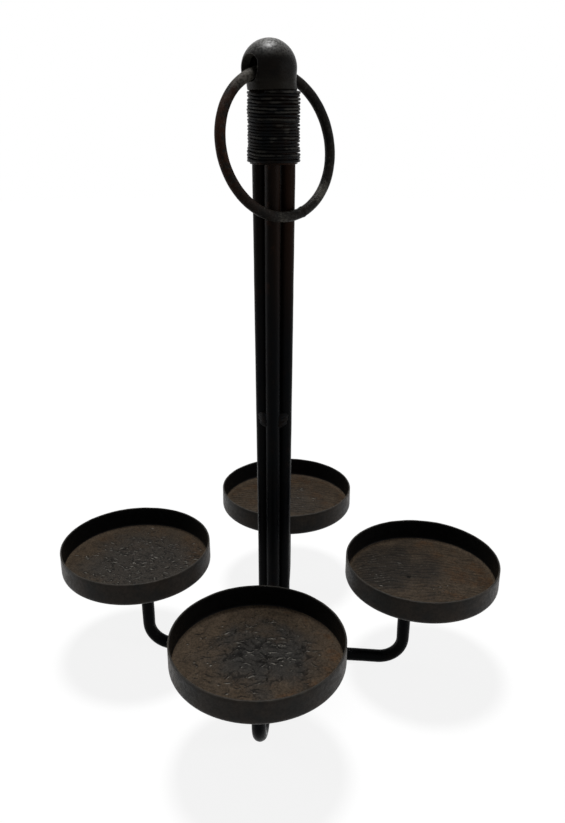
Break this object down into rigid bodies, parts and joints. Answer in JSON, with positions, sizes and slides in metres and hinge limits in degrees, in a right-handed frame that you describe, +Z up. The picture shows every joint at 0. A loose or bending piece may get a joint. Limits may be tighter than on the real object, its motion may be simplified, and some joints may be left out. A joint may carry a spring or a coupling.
{
  "type": "candle stand",
  "caption": "Forged iron candle stand: bent round bars form a stem, arms and uprights with shallow round pans, under a wire-bound head with a ball and a loose hanging ring.",
  "frame": {"origin": "on the floor, on the stem's centre line", "axes": "+Z up along the stem, -Y along the front arm, +X along the right arm"},
  "size_m": [0.2674, 0.2621, 0.3604],
  "materials": {
    "bar_iron": "black iron with a brown patina, satin",
    "ball_iron": "worn black iron, satin",
    "pan_iron": "dark brown iron with a cracked crust on the floor, satin",
    "ring_iron": "dark iron, rubbed and rusted",
    "binding_wire": "black annealed wire",
    "weld_iron": "blackened weld bead"
  },
  "bodies": {
    "stand": {"front_rod": "bar_iron", "front_pan": "pan_iron", "front_pan_weld": "weld_iron", "back_rod": "bar_iron", "back_pan": "pan_iron", "back_pan_weld": "weld_iron", "left_rod": "bar_iron", "left_pan": "pan_iron", "left_pan_weld": "weld_iron", "right_rod": "bar_iron", "right_pan": "pan_iron", "right_pan_weld": "weld_iron", "stem_tack_welds": "weld_iron", "stem_ferrule": "bar_iron", "wire_binding": "binding_wire", "ball_finial": "ball_iron", "finial_shank": "bar_iron"},
    "ring": {"hanging_ring": "ring_iron", "ring_weld": "weld_iron"}
  },
  "joints": [
    {"name": "ring_swing", "type": "hinge", "parent": "stand", "child": "ring", "pos_m": [-0.0022, 0, 0.3468], "axis": [-0.7071, -0.7071, 0], "range_deg": [0, 340.1]}
  ]
}
